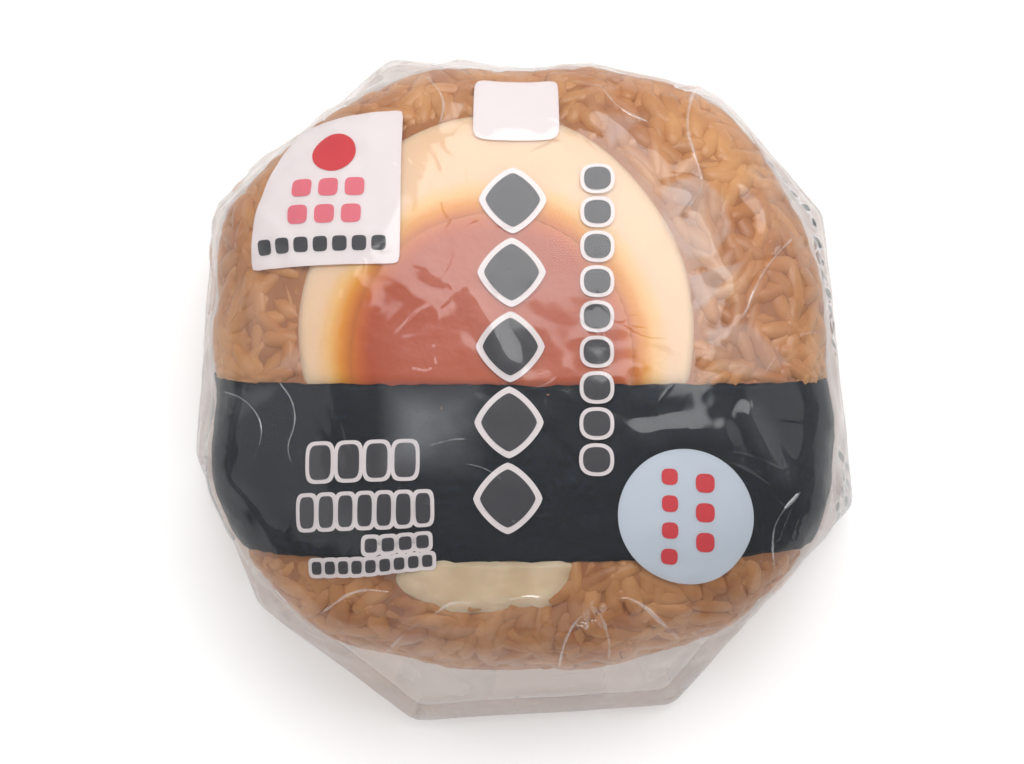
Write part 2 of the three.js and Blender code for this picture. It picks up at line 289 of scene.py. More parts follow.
def rice_points():
    """Core and grains as points, faces, each point's tone and how deep it lies, which the material turns into
    painted shade.
    """
    draw = random.Random(17)
    faces = []

    # The core, turned from the same section as the ball, between a point on top and one below.
    around, rows = 64, 29
    points = [(0, 0, 2 * BALL_MIDDLE - CORE_DEPTH), (0, 0, CORE_DEPTH)]
    for i in range(rows):
        r, z = ball_at(math.pi * (i + 1) / (rows + 1))
        r *= 1 - CORE_DEPTH / BALL_RADIUS
        z = BALL_MIDDLE + (z - BALL_MIDDLE) * (1 - CORE_DEPTH / BALL_MIDDLE)
        for j in range(around):
            a = math.tau * j / around
            points.append((r * math.cos(a), r * math.sin(a), z))
    tone, depth = [CORE_TONE] * len(points), [CORE_SHADE] * len(points)
    last = len(points) - around
    for j in range(around):
        k = (j + 1) % around
        faces += [(0, 2 + j, 2 + k), (1, last + k, last + j)]
    faces += grid_faces(rows, around, start=2, closed=True)

    # One grain: blunt at both ends and a little bent, rings of points between two tips.
    ring, rings = 8, 6
    grain = [(-0.5, 0.0, 0.0)]
    for i in range(rings):
        phi = math.pi * (i + 1) / (rings + 1)
        for j in range(ring):
            a = math.tau * j / ring
            girth = 0.5 * math.sin(phi) ** GRAIN_BLUNTNESS
            grain.append((-0.5 * math.cos(phi), girth * math.cos(a), girth * math.sin(a)))
    grain.append((0.5, 0.0, 0.0))
    grain = np.array(grain)
    skin = [(0, 1 + (j + 1) % ring, 1 + j) for j in range(ring)]
    skin += [tuple(reversed(f)) for f in grid_faces(rings, ring, start=1, closed=True)]
    last = len(grain) - 1
    skin += [(last, last - ring + j, last - ring + (j + 1) % ring) for j in range(ring)]

    steps = np.arange(SECTION_STEPS + 1)
    area = np.concatenate([[0], np.cumsum(section_r[1:] * np.diff(section_s))])
    placed = np.empty((0, 3))
    for _ in range(GRAIN_TRIES):
        at = np.interp(draw.random() * area[-1], area, steps)
        r = np.interp(at, steps, section_r)
        z = np.interp(at, steps, section_z)
        bearing = draw.random() * math.tau
        p = np.array((r * math.cos(bearing), r * math.sin(bearing), z))
        turn = draw.random() * math.pi
        if len(placed) and ((placed - p) ** 2).sum(1).min() < GRAIN_SPACING ** 2:
            continue
        if is_covered(p):
            continue
        placed = np.vstack([placed, p])
        out = out_of_ball(p)
        basis = out.to_track_quat("Z", "Y").to_matrix() @ Matrix.Rotation(turn, 3, "Z")
        basis = basis @ Matrix.Rotation(draw.gauss(0, 0.1), 3, "Y")
        length = GRAIN_LENGTH * draw.uniform(0.84, 1.12)
        width = GRAIN_WIDTH * draw.uniform(0.86, 1.08)
        sunk = width * GRAIN_SINK + PRESSED_IN + draw.random() ** 2 * GRAIN_UNEVENNESS
        local = grain * (length, width, width * GRAIN_THICKNESS)
        local[:, 1] += draw.gauss(0, 0.25) * (1 - (2 * grain[:, 0]) ** 2)
        shape = local @ np.array(basis).T + p - np.array(out) * sunk
        # Grains that would stand out are flattened against the film.
        allowed = 1 - PRESSED_IN / BALL_RADIUS
        far = how_far_out(shape) / allowed
        squeeze = np.where(far > 1, (1 + (far - 1) * FLATTENED) / far, 1)[:, None]
        middle = np.array((0, 0, BALL_MIDDLE))
        shape = middle + (shape - middle) * squeeze
        # Those at the edges of the band, the egg and the mayonnaise dip under them.
        over = across_band(shape.T)
        inward = np.minimum(over, BAND_WIDTH - over)
        for centre, radii in ((EGG_CENTRE, EGG_RADII), (MAYO_CENTRE, MAYO_RADII)):
            away = np.hypot((shape[:, 0] - centre[0]) / radii[0], (shape[:, 1] - centre[1]) / radii[1])
            inward = np.maximum(inward, (1 - away) * min(radii))
        dip = np.clip(inward / PRESSED_OVER, 0, 1) * (shape[:, 2] > GRAINS_DIP_ABOVE)
        shape = shape - np.outer(dip * PRESSED_UNDER, out)
        start = len(points)
        points.extend(shape)
        shade = min(1, max(0, draw.gauss(0.5, 0.17)))
        tone.extend([shade] * len(grain))
        # How deep each point lies, which the material darkens as painted shade in the gaps.
        depth.extend(np.clip((1 - how_far_out(shape)) * 20 - 0.7, 0, 0.6))
        faces.extend(tuple(start + k for k in f) for f in skin)
    points = np.array(points)
    r = np.hypot(points[:, 0], points[:, 1])
    grown = bulged(np.arctan2(points[:, 1], points[:, 0]), r) / np.maximum(r, 1e-6)
    points[:, :2] *= grown[:, None]
    return points, faces, tone, depth


points, faces, tone, depth = rice_points()
rice_ball = mesh_piece("rice_ball", points, faces, {"tone": tone, "depth": depth}, seasoned_rice())
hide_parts("wrapped_rice")
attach(rice_ball, "root")


# The half egg. It is a soft-boiled hen's egg that was steeped in broth, cut lengthwise and set in the rice
# cut side out; the film presses its face level with the ball. The white and the yolk are two pieces.
EGG_SUNK = 0.5  # below the film
EGG_DEPTH = 4.0
YOLK_CENTRE = (-3.9, -1.5)
YOLK_RADII = (17.6, 18.7)


def ball_height(x, y):
    return float(np.interp(math.hypot(x, y), section_r[:FACE_STEPS + 1], section_z[:FACE_STEPS + 1]))


def set_in_face(centre, radii, height, waver, rings=60, around=160):
    """A pressed cap in the face: height(share of the way out, x, y) is its depth below the ball, and waver
    how far its outline wanders."""
    points = [(*centre, ball_height(*centre) - height(0, *centre))]
    for i in range(rings):
        share = (i + 1) / rings
        for j in range(around):
            a = math.tau * j / around
            wander = 1 + waver * noise.noise(Vector((math.cos(a) * 1.7, math.sin(a) * 1.7, radii[0])))
            x = centre[0] + radii[0] * share * wander * math.cos(a)
            y = centre[1] + radii[1] * share * wander * math.sin(a)
            points.append((x, y, ball_height(x, y) - height(share, x, y)))
    faces = [(0, 1 + j, 1 + (j + 1) % around) for j in range(around)]
    return points, faces + grid_faces(rings, around, start=1, closed=True)


def under_band(x, y):
    """How much deeper the egg lies where the band presses on it."""
    over = across_band((x, y, ball_height(x, y)))
    return max(0.0, min(1.0, over / 1.5 + 0.3, (BAND_WIDTH - over) / 1.5 + 0.3))


def egg_lump(x, y):
    return 0.1 * noise.noise(Vector((x, y, 3)) * 0.16)


def white_depth(share, x, y):
    edge = max(0.0, (share - 0.93) / 0.07)
    yolk = math.hypot((x - YOLK_CENTRE[0]) / YOLK_RADII[0], (y - YOLK_CENTRE[1]) / YOLK_RADII[1])
    well = max(0.0, min(1.0, (0.94 - yolk) * 9))
    edge_fall = EGG_DEPTH * (1 - math.sqrt(max(0, 1 - edge ** 2)))
    return EGG_SUNK + edge_fall + 1.2 * well + PRESSED_UNDER * under_band(x, y) + egg_lump(x, y)


def yolk_depth(share, x, y):
    """The yolk lies level with the white, and only its very rim dips under it."""
    edge = max(0.0, (share - 0.93) / 0.07)
    return EGG_SUNK - 0.012 + 0.1 * edge ** 2 + PRESSED_UNDER * under_band(x, y) + egg_lump(x, y)


def rings_of_the_yolk(s):
    """Colours by the distance from the yolk's middle, from its deep red-orange to the broth-stained white."""
    x, y, z = s.add("ShaderNodeSeparateXYZ", Vector=s.place()).outputs
    dx = s.math("DIVIDE", s.math("SUBTRACT", x, YOLK_CENTRE[0] * MM), YOLK_RADII[0] * MM)
    dy = s.math("DIVIDE", s.math("SUBTRACT", y, YOLK_CENTRE[1] * MM), YOLK_RADII[1] * MM)
    out = s.math("SQRT", s.math("ADD", s.math("MULTIPLY", dx, dx), s.math("MULTIPLY", dy, dy)))
    uneven = s.math("SUBTRACT", s.noise(90, 3, 0.55), 0.5)
    out = s.math("ADD", out, s.math("MULTIPLY", uneven, 0.16))
    return s.ramp(s.math("MULTIPLY", out, 0.75), [
        (0.0, colour(196, 104, 76)),
        (0.45, colour(188, 92, 62)),
        (0.63, colour(184, 82, 42)),
        (0.68, colour(198, 98, 38)),
        (0.73, colour(211, 122, 34)),
        (0.78, colour(229, 159, 56)),
        (0.83, colour(240, 198, 132)),
        (0.9, colour(240, 209, 178)),
    ])


def boiled_white():
    s = Shades("boiled_white")
    mottled = s.step(s.noise(90, 3, 0.6), 0.3, 0.75, 0.0, 0.4)
    body = s.blend(mottled, rings_of_the_yolk(s), colour(248, 230, 206), "MULTIPLY")
    shader = s.add(
        "ShaderNodeBsdfPrincipled",
        Base_Color=body,
        Roughness=0.38,
        IOR=1.38,
        Subsurface_Weight=0.6,
        Subsurface_Scale=0.003,
        Normal=s.relief(s.noise(300, 3, 0.6), 0.0001),
    )
    shader.inputs["Subsurface Radius"].default_value = (1.0, 0.8, 0.6)
    return s.done(shader)


def soft_yolk():
    s = Shades("soft_yolk")
    cloud = s.step(s.noise(75, 3, 0.55), 0.42, 0.75, 0.0, 0.25)
    shader = s.add(
        "ShaderNodeBsdfPrincipled",
        Base_Color=s.blend(cloud, rings_of_the_yolk(s), colour(214, 128, 88)),
        Roughness=0.26,
        IOR=1.4,
        Subsurface_Weight=0.35,
        Subsurface_Scale=0.002,
        Normal=s.relief(s.noise(240, 3, 0.6), 0.00012),
    )
    shader.inputs["Subsurface Radius"].default_value = (1.0, 0.4, 0.12)
    return s.done(shader)


points, faces = set_in_face(EGG_CENTRE, EGG_RADII, white_depth, 0.018, rings=80)
egg_white = mesh_piece("boiled_egg_white", points, faces, material=boiled_white())
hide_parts("egg_white")
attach(egg_white, "root")

points, faces = set_in_face(YOLK_CENTRE, YOLK_RADII, yolk_depth, 0.03)
egg_yolk = mesh_piece("soft_egg_yolk", points, faces, material=soft_yolk())
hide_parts("egg_yolk")
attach(egg_yolk, "root")


# The mayonnaise. A dab was piped over the foot of the egg before the band went on, and the film presses what
# comes out below the band into a flat, ragged tongue on the grains.
MAYO_SUNK = 0.45


def mayonnaise_depth(share, x, y):
    edge = max(0.0, (share - 0.72) / 0.28)
    lump = 0.25 * noise.noise(Vector((x, y, 1)) * 0.5)
    return MAYO_SUNK + 1.9 * (1 - math.sqrt(max(0, 1 - edge ** 2))) + PRESSED_UNDER * under_band(x, y) + lump


def mayonnaise_sauce():
    s = Shades("mayonnaise_sauce")
    body = s.blend(s.step(s.noise(200, 3), 0.35, 0.7), colour(222, 197, 164), colour(236, 215, 186))
    shader = s.add(
        "ShaderNodeBsdfPrincipled",
        Base_Color=body,
        Roughness=0.3,
        Subsurface_Weight=0.4,
        Subsurface_Scale=0.0015,
        Normal=s.relief(s.noise(500, 3), 0.0001),
    )
    return s.done(shader)


points, faces = set_in_face(MAYO_CENTRE, MAYO_RADII, mayonnaise_depth, 0.3, rings=40)
mayonnaise = mesh_piece("mayonnaise_dab", points, faces, material=mayonnaise_sauce())
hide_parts("mayonnaise")
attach(mayonnaise, "root")


# The film's shape. One clear sheet is drawn tight over the face, runs straight from the ball's rim to nine
# pleats that stand out round its back, and is folded in underneath; the band is held under it.
# Each pleat's bearing in degrees, reach from the axis and height above the table.
PLEATS = [
    (30, 45.5, 8), (56, 46, 9), (112, 46.6, 10), (151, 46.5, 9), (192, 43.5, 6),
    (220, 44.5, 4), (252, 45.5, 3), (295, 45.5, 3), (340, 45.5, 5),
]
PLEAT_ROUNDING = 1.1
FOOT_TUCK = 1.5
FOOT_SLOPE = 0.3


def between_pleats(bearing):
    """Reach and level of the film's straight run between two pleats, at a bearing in degrees."""
    turned = (bearing - PLEATS[0][0]) % 360
    i = max(k for k, pleat in enumerate(PLEATS) if pleat[0] - PLEATS[0][0] <= turned)
    (from_a, reach_a, level_a), (from_b, reach_b, level_b) = PLEATS[i], PLEATS[(i + 1) % len(PLEATS)]
    span = (from_b - from_a) % 360
    gone = turned - (from_a - PLEATS[0][0])
    sine = [math.sin(math.radians(v)) for v in (span, gone, span - gone)]
    reach = reach_a * reach_b * sine[0] / (reach_a * sine[1] + reach_b * sine[2])
    return reach, level_a + (level_b - level_a) * gone / span


def film_section(degrees):
    """How far along the film leaves the ball, its touch, its knee and its foot, at a bearing in degrees."""
    reaches = [between_pleats(degrees + turn)[0] for turn in (-PLEAT_ROUNDING, 0, PLEAT_ROUNDING)]
    reach, level = sum(reaches) / 3, between_pleats(degrees)[1]
    above = (section_z > level + 0.2) & (section_z < 2 * BALL_MIDDLE - 0.01)
    radii = bulged(math.radians(degrees), section_r)
    reach = max(reach, np.interp(level, section_z[::-1], radii[::-1]))
    slope = np.where(above, (radii - reach) / np.maximum(section_z - level, 0.01), -1e9)
    k = int(slope.argmax())
    return section_s[k], radii[k], section_z[k], reach, level, reach - FOOT_TUCK - FOOT_SLOPE * level


film_bearings = np.arange(0, 360.25, 0.25)
film_table = np.array([film_section(degrees) for degrees in film_bearings])


def film_at(bearing):
    """The film's section at each bearing in radians, as film_section gives it."""
    degrees = np.degrees(bearing) % 360
    return [np.interp(degrees, film_bearings, column) for column in film_table.T]


def film_profile(bearing, along):
    """Radius and height of the smooth film at distances along it from the middle of the face."""
    leaves, touch_r, touch_z, knee_r, knee_z, foot_r = film_at(bearing)
    run = np.hypot(knee_r - touch_r, touch_z - knee_z)
    tuck = np.hypot(knee_r - foot_r, knee_z)
    down = np.clip((along - leaves) / run, 0, 1)
    turned_in = np.clip((along - leaves - run) / tuck, 0, 1)
    under = np.clip((along - leaves - run - tuck) / foot_r, 0, 1)
    r = touch_r + (knee_r - touch_r) * down + (foot_r - knee_r) * turned_in - foot_r * under
    z = touch_z + (knee_z - touch_z) * down - knee_z * turned_in
    on_ball = along <= leaves
    r = np.where(on_ball, bulged(bearing, np.interp(along, section_s, section_r)), r)
    return r, np.where(on_ball, np.interp(along, section_s, section_z), z)


# The nori band. It is a strip cut from a sheet of pressed, roasted seaweed, laid over the foot of the egg and
# down both sides of the ball; damp from the rice, it clings and takes the grains' print.
BAND_END_LEVEL = 9
BAND_THICKNESS = 0.25
BAND_SUNK = 0.6
BAND_RAGGED = 0.22
BAND_LEAN = 140  # how far down the sides its lines are sought, in degrees from straight up
BEYOND_BALL = 60


def band_radius(bearing, z):
    """The band lies between the ball and the film, where the film stands off the ball."""
    up = BALL_MIDDLE + np.abs(z - BALL_MIDDLE)
    ball = bulged(bearing, np.interp(up, section_z[FACE_STEPS::-1], section_r[FACE_STEPS::-1]))
    leaves, touch_r, touch_z, knee_r, knee_z, foot_r = film_at(bearing)
    run = touch_r + (knee_r - touch_r) * (touch_z - z) / (touch_z - knee_z)
    tuck = knee_r + (foot_r - knee_r) * (knee_z - z) / knee_z
    film = np.where(z >= knee_z, run, tuck)
    return np.where(z >= touch_z, ball, ball + (film - ball) * 0.6)


def band_lines(lines=37, leans=681, steps=151):
    """For each line along the band, from its lower edge to its upper one, the places it runs through."""
    across = np.linspace(0, BAND_WIDTH, lines)[:, None]
    lean = np.radians(np.linspace(-BAND_LEAN, BAND_LEAN, leans))[None, :]
    near = np.zeros((lines, leans))
    far = near + BEYOND_BALL
    # Where sloping planes through the band's lines meet the ball, found by halving.
    for _ in range(20):
        d = (near + far) / 2
        x, z = d * np.sin(lean), BALL_MIDDLE + d * np.cos(lean)
        y = BAND_LOW_EDGE + across + BAND_SLANT * (2 * BALL_MIDDLE - z)
        inside = (z > 0) & (z < 2 * BALL_MIDDLE) & (np.hypot(x, y) < band_radius(np.arctan2(y, x), z))
        near, far = np.where(inside, d, near), np.where(inside, far, d)
    rows = []
    for i in range(lines):
        line = np.stack([x[i], y[i], z[i]], 1)[z[i] > BAND_END_LEVEL]
        length = np.concatenate([[0], np.cumsum(np.linalg.norm(np.diff(line, axis=0), axis=1))])
        even = np.linspace(0, length[-1], steps)
        rows.append(np.stack([np.interp(even, length, line[:, c]) for c in range(3)], 1))
    rows = np.array(rows)
    for edge in (0, lines - 1):
        rows[edge, :, 1] += BAND_RAGGED * ripples(rows[edge], 0.7)
    return rows


def ripples(points, scale):
    """Smooth noise of -1 to 1 at each of an array of points."""
    values = [noise.noise(p) for p in (points * scale).reshape(-1, 3)]
    return np.array(values).reshape(points.shape[:-1])


def roasted_nori():
    s = Shades("roasted_nori")
    fine = s.noise(1500, 4, 0.65)
    broad = s.noise(160, 3, 0.6)
    body = s.blend(s.step(fine, 0.35, 0.72), colour(0, 7, 17), colour(17, 31, 49))
    body = s.blend(s.step(broad, 0.4, 0.7, 0.0, 0.5), body, colour(9, 18, 28))
    rough = s.step(broad, 0.3, 0.7, 0.36, 0.55)
    low = s.relief(s.noise(420, 3, 0.6), 0.00022)
    shader = s.add(
        "ShaderNodeBsdfPrincipled",
        Base_Color=body,
        Roughness=rough,
        IOR=1.28,
        Normal=s.relief(s.noise(900, 1), 0.00001, 0.7, low),
    )
    shader.inputs["Specular IOR Level"].default_value = 0.3
    return s.done(shader)


lines = band_lines()
rows, columns = lines.shape[:2]
out = np.cross(np.gradient(lines, axis=1), np.gradient(lines, axis=0))
out /= np.linalg.norm(out, axis=2)[..., None]
out *= np.sign((out * (lines - (0, 0, BALL_MIDDLE))).sum(2).mean())
dents = 0.3 * ripples(lines, 0.27) + 0.12 * ripples(lines, 0.7)
upper = lines + out * (-BAND_SUNK - 0.12 + dents)[..., None]
lower = upper - out * BAND_THICKNESS
points = np.concatenate([upper.reshape(-1, 3), lower.reshape(-1, 3)])
faces = grid_faces(rows, columns)
faces += [tuple(reversed(f)) for f in grid_faces(rows, columns, start=rows * columns)]
rim = list(range(columns))
rim += [i * columns + columns - 1 for i in range(1, rows)]
rim += [(rows - 1) * columns + j for j in range(columns - 2, -1, -1)]
rim += [i * columns for i in range(rows - 2, 0, -1)]
for a, b in zip(rim, rim[1:] + rim[:1]):
    faces.append((a, b, b + rows * columns, a + rows * columns))
faces = [tuple(reversed(f)) for f in faces]
nori = mesh_piece("roasted_nori_band", points, faces, material=roasted_nori())
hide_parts("nori_band")
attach(nori, "root")


# The clear film. It is oriented polypropylene a few hundredths of a millimetre thick: it clings to the face
# and takes the grains' print, creases towards its pleats, and looks milky where folds lie over each other.
# Over its creases, swells and facets it is also whitened with painted glints and sheen.
FILM_COLUMNS = 480
FILM_ROWS = {"face": 96, "run": 42, "foot": 6, "base": 30}
# Creases over the face and the rim, whose lines the film's material whitens as painted glints: sharpness,
# then the places they run through.
CREASE_WIDTH = 1.3
CREASE_REACH = 1.0  # how far from a crease its line may show
CREASE_FULL = 0.45  # the sharpness at which its line has its own width
FAR = 9.0  # stands for a place that has no crease near it
CREASES_ABOVE = 9  # the height above which creases and swells show
CREASES = [
    (0.55, [
        (21.9, 36.0), (20.3, 31.0), (19.9, 27.9), (20.5, 25.0), (21.5, 22.1), (21.6, 19.6), (19.3, 16.5),
    ]),
    (0.45, [(-16.5, -35.5), (-13.6, -33.2), (-11.2, -32.0), (-8.6, -30.2), (-6.2, -30.4)]),
    (0.45, [(8.9, -30.9), (11.4, -29.5), (13.8, -30.4), (16.1, -32.4), (21.8, -36.4)]),
    (0.40, [(7.6, -30.2), (9.2, -32.0), (10.3, -35.0), (9.8, -39.0)]),
    (0.55, [(8.4, -29.8), (7.7, -31.2), (7.3, -33.0)]),
    (0.45, [(10.6, -30.4), (9.2, -31.2), (8.8, -32.6)]),
    (0.45, [(-1.7, -30.0), (0.0, -29.6), (1.8, -29.8)]),
    (0.35, [(8.0, -30.6), (5.0, -33.5), (4.0, -38.0)]),
    (0.16, [(-36.3, -4.5), (-33.8, -5.6), (-31.8, -7.9), (-31.3, -10.6), (-32.6, -13.4)]),
    (0.16, [(-29.2, -4.2), (-27.6, -6.4), (-27.2, -9.2), (-28.4, -11.8), (-27.6, -14.2)]),
    (0.35, [(32.5, 14.0), (29.5, 10.6), (27.6, 7.2), (26.5, 4.0), (24.0, 1.0)]),
    (0.30, [(36.0, 3.0), (33.3, 2.2), (30.9, 0.1), (28.0, -4.0)]),
    (0.30, [(9.3, 33.5), (11.5, 30.0), (15.0, 28.5)]),
    (0.30, [(-12.0, 35.0), (-9.5, 31.0), (-10.5, 27.5)]),
    (0.35, [(33.0, -17.0), (30.6, -19.4), (29.5, -22.0), (30.0, -26.0)]),
    (0.30, [(-24.0, -31.0), (-20.0, -28.6), (-16.0, -29.0)]),
]
# Where the film stands off the food in soft swells, which also get a painted sheen: height, half width,
# places.
SWELLS = [
    (0.22, 2.4, [(14.0, -10.8), (18.5, -10.2), (23.6, -10.4)]),
    (0.20, 1.8, [(-35.5, -15.5), (-31.8, -18.5), (-29.8, -22.4)]),
    (0.45, 3.4, [(9.3, 31.0), (14.1, 25.0)]),
    (0.50, 3.2, [(19.5, 19.0), (22.0, 13.5), (25.3, 7.0)]),
    (0.45, 3.0, [(28.0, 21.0), (33.0, 11.0)]),
    (0.40, 2.8, [(-15.0, 34.0), (-8.0, 31.5)]),
    (0.45, 2.6, [(-14.0, -33.0), (-4.0, -35.0)]),
    (0.45, 2.6, [(12.0, -34.0), (19.0, -30.5)]),
    (0.40, 2.6, [(-33.0, 8.0), (-32.0, 1.0)]),
    (0.30, 2.4, [(27.0, -8.0), (31.0, -15.0)]),
    (0.25, 2.2, [(-6.0, 6.0), (-2.0, -2.0)]),
]
# Where it bridges a hollow as a flat facet, the film is whitened with painted sheen that stands in for
# reflections of the lights:
# how strong the sheen is, over how far it fades in from its edge, and its corners, anticlockwise.
SHEEN_FACETS = [
    (0.16, 0.6, [(10.4, 24.4), (15.6, 29.6), (8.9, 29.5)]),
    (0.24, 0.6, [
        (16.3, 14.6), (19.5, 10.6), (22.5, 10.7), (25.2, 14.3), (24.6, 18.5), (21.4, 22.0), (16.4, 19.8),
    ]),
    (0.28, 0.5, [(19.8, 4.0), (21.8, 4.8), (26.9, 10.9), (19.5, 8.9)]),
    (0.18, 0.6, [(22.8, -3.1), (28.1, -3.8), (32.3, -1.4), (26.7, 3.4), (21.3, 2.3)]),
    (0.16, 0.6, [(-30.6, -2.6), (-25.4, -3.2), (-27.0, 0.8)]),
    (0.20, 4.5, [(-17.5, -15.5), (-4.5, -16.5), (-4.5, -3.9), (-17.5, -3.9)]),
    (0.16, 2.5, [(-35.0, -9.0), (-30.0, -6.0), (-29.0, -4.2), (-36.0, -4.2)]),
]


def eased(line):
    """A chain of places with its corners rounded off."""
    for _ in range(2):
        cut = [line[0]]
        for (from_x, from_y), (to_x, to_y) in zip(line, line[1:]):
            for share in (0.25, 0.75):
                cut.append((from_x + (to_x - from_x) * share, from_y + (to_y - from_y) * share))
        line = cut + [line[-1]]
    return line


CREASES = [(sharpness, eased(line)) for sharpness, line in CREASES]


def off_line(x, y, line):
    """Distance of places from a line drawn through a chain of points."""
    nearest = np.full(np.shape(x), 99.0)
    for (from_x, from_y), (to_x, to_y) in zip(line, line[1:]):
        run_x, run_y = to_x - from_x, to_y - from_y
        share = ((x - from_x) * run_x + (y - from_y) * run_y) / (run_x ** 2 + run_y ** 2)
        share = np.clip(share, 0, 1)
        nearest = np.minimum(nearest, np.hypot(x - from_x - share * run_x, y - from_y - share * run_y))
    return nearest


def swells(x, y):
    total = 0 * x
    for height, half_width, line in SWELLS:
        near = np.clip(1 - off_line(x, y, line) / half_width, 0, 1)
        total += height * near ** 2 * (3 - 2 * near)
    return total


def facet_sheen(x, y):
    """How much painted sheen whitens the film where it bridges a hollow."""
    pale = 0 * x
    for sheen_strength, fade, corners in SHEEN_FACETS:
        within = np.full(np.shape(x), 99.0)
        for (from_x, from_y), (to_x, to_y) in zip(corners, corners[1:] + corners[:1]):
            run_x, run_y = to_x - from_x, to_y - from_y
            side = (run_x * (y - from_y) - run_y * (x - from_x)) / math.hypot(run_x, run_y)
            within = np.minimum(within, side)
        pale = np.maximum(pale, sheen_strength * np.clip(within / fade, 0, 1))
    return pale


def folds(turned, seed, least, most):
    """Heights of -1 to 1 that run straight from one crease to the next, round the wrapper in degrees."""
    draw = random.Random(seed)
    creases = [0.0]
    while creases[-1] < 360 - most:
        creases.append(creases[-1] + draw.uniform(least, most))
    return np.interp(turned % 360, creases, [draw.uniform(-1, 1) for _ in creases], period=360)


def fanned_folds(turned, down):
    """The main folds between the pleats; they slant on the way down, from 0 at the ball to 1 at the knee."""
    return folds(turned + 16 * down, 3, 3, 9)


def flat_layers(turned):
    """The pleats' overlapping layers, where they are folded in underneath."""
    return folds(turned, 5, 8, 30)


def film_lift(bearing, along, r, z):
    """How far the film stands off its smooth shape: the print of the grains, slack, folds and creases."""
    x, y = r * np.cos(bearing), r * np.sin(bearing)
    p = np.stack([x, y, z], -1)
    leaves, touch_r, touch_z, knee_r, knee_z, foot_r = film_at(bearing)
    off = np.clip((along - leaves) / np.hypot(knee_r - touch_r, touch_z - knee_z), 0, 1)
    from_band = across_band((x, y, z))
    egg = np.hypot((x - EGG_CENTRE[0]) / EGG_RADII[0], (y - EGG_CENTRE[1]) / EGG_RADII[1])
    smooth = (z > BALL_MIDDLE) & ((egg < 0.97) | ((from_band > -1) & (from_band < BAND_WIDTH + 1)))
    grains = np.where(smooth, 0.3, 1) * (1 - np.clip(off * 3, 0, 1))
    lift = 0.17 * grains * ripples(p, 0.36) + 0.07 * ripples(p, 0.12)
    turned = np.degrees(bearing)
    slack = np.clip(off * 4, 0, 1)
    taut = 1 - 0.85 * off ** 2
    sharp = 0.6 * fanned_folds(turned, off) + 0.4 * folds(turned - 22 * off, 8, 2.5, 7)
    lift += np.where(z > 0.05, slack * taut * sharp, 0)
    for sharpness, line in CREASES:
        ridge = np.clip(1 - off_line(x, y, line) / CREASE_WIDTH, 0, 1)
        lift += np.where(z > CREASES_ABOVE, 0.4 * sharpness * ridge ** 2, 0)
    lift += np.where(z > CREASES_ABOVE, swells(x, y), 0)
    # Folded in underneath, the pleats lie flat in layers that overlap from one to the next.
    layer = 0.16 + 0.14 * flat_layers(turned + 1.1 * r)
    return np.where(z > 0.05, lift, -layer * np.clip((foot_r - r) / 3, 0, 1))


def film_place(bearing, along, lift=0.0):
    """Places on the wrinkled film, raised off it by lift."""
    r, z = film_profile(bearing, along)
    ahead_r, ahead_z = film_profile(bearing, along + 0.4)
    behind_r, behind_z = film_profile(bearing, np.maximum(along - 0.4, 0))
    dr, dz = ahead_r - behind_r, ahead_z - behind_z
    under = (z < 0.01) & (along > 20)
    dr, dz = np.where(under, -1, dr), np.where(under, 0, dz)
    size = np.maximum(np.hypot(dr, dz), 1e-6)
    off = (lift + film_lift(bearing, along, r, z)) / size
    r, z = r - dz * off, z + dr * off
    return np.stack([r * np.cos(bearing), r * np.sin(bearing), np.maximum(z, 0.03)], -1)


def wrapping_film():
    s = Shades("wrapping_film")
    # The film's milkiness from layered folds, plus painted sheen over its creases, swells and facets.
    milky_and_sheen = s.attribute("milky_and_sheen")
    cloud = s.noise(110, 2, 0.6)
    milky_and_sheen = s.math("MULTIPLY", milky_and_sheen, s.step(cloud, 0.25, 0.75, 0.5, 1.35), clamp=True)
    across, beyond = s.attribute("across_crease"), s.attribute("beyond_crease")
    off = s.math("SQRT", s.math("MULTIPLY_ADD", across, across, s.math("MULTIPLY", beyond, beyond)))
    off = s.math("ADD", off, s.math("MULTIPLY_ADD", s.noise(170, 2, 0.6), 1.1, -0.44))
    crease = s.step(off, 0.36, 0.0)
    # Painted glint: along each crease the film is whitened, broken up in patches.
    milky_and_sheen = s.math("MAXIMUM", milky_and_sheen, s.math("MULTIPLY", crease, 0.34))
    # Fine creases run in curves, in patches, between places where the film lies smooth.
    curve = s.math("ABSOLUTE", s.math("SUBTRACT", s.noise(70, 2, 0.5, warp=1.4), 0.5))
    curve = s.math("MULTIPLY", s.step(curve, 0.035, 0.0), s.step(s.noise(60, 2), 0.42, 0.62))
    fine = s.relief(s.noise(240, 1, 0.55), 0.0002, 0.5)
    fine = s.relief(curve, 0.0001, 0.35, fine)
    fine = s.relief(crease, 0.0002, 0.7, fine)
    gloss = s.add("ShaderNodeBsdfGlossy", Color=(1, 1, 1, 1), Roughness=0.09, Normal=fine)
    clear = s.add("ShaderNodeBsdfTransparent", Color=(0.968, 0.965, 0.96, 1))
    haze = s.add("ShaderNodeMixShader")
    s.put(haze, "#0", 0.5)
    s.put(haze, "#1", s.add("ShaderNodeBsdfDiffuse", Color=(0.87, 0.9, 0.94, 1), Normal=fine))
    s.put(haze, "#2", s.add("ShaderNodeBsdfTranslucent", Color=(0.87, 0.9, 0.94, 1)))
    sheet = s.add("ShaderNodeMixShader")
    s.put(sheet, "#0", milky_and_sheen)
    s.put(sheet, "#1", clear)
    s.put(sheet, "#2", haze)
    skin = s.add("ShaderNodeMixShader")
    fresnel = s.add("ShaderNodeFresnel", IOR=1.5, Normal=fine)
    shine = s.math("MULTIPLY_ADD", fresnel.outputs[0], 0.6, 0.014)
    s.put(skin, "#0", s.math("MULTIPLY_ADD", crease, 0.12, shine, clamp=True))
    s.put(skin, "#1", sheet)
    s.put(skin, "#2", gloss)
    return s.done(skin)


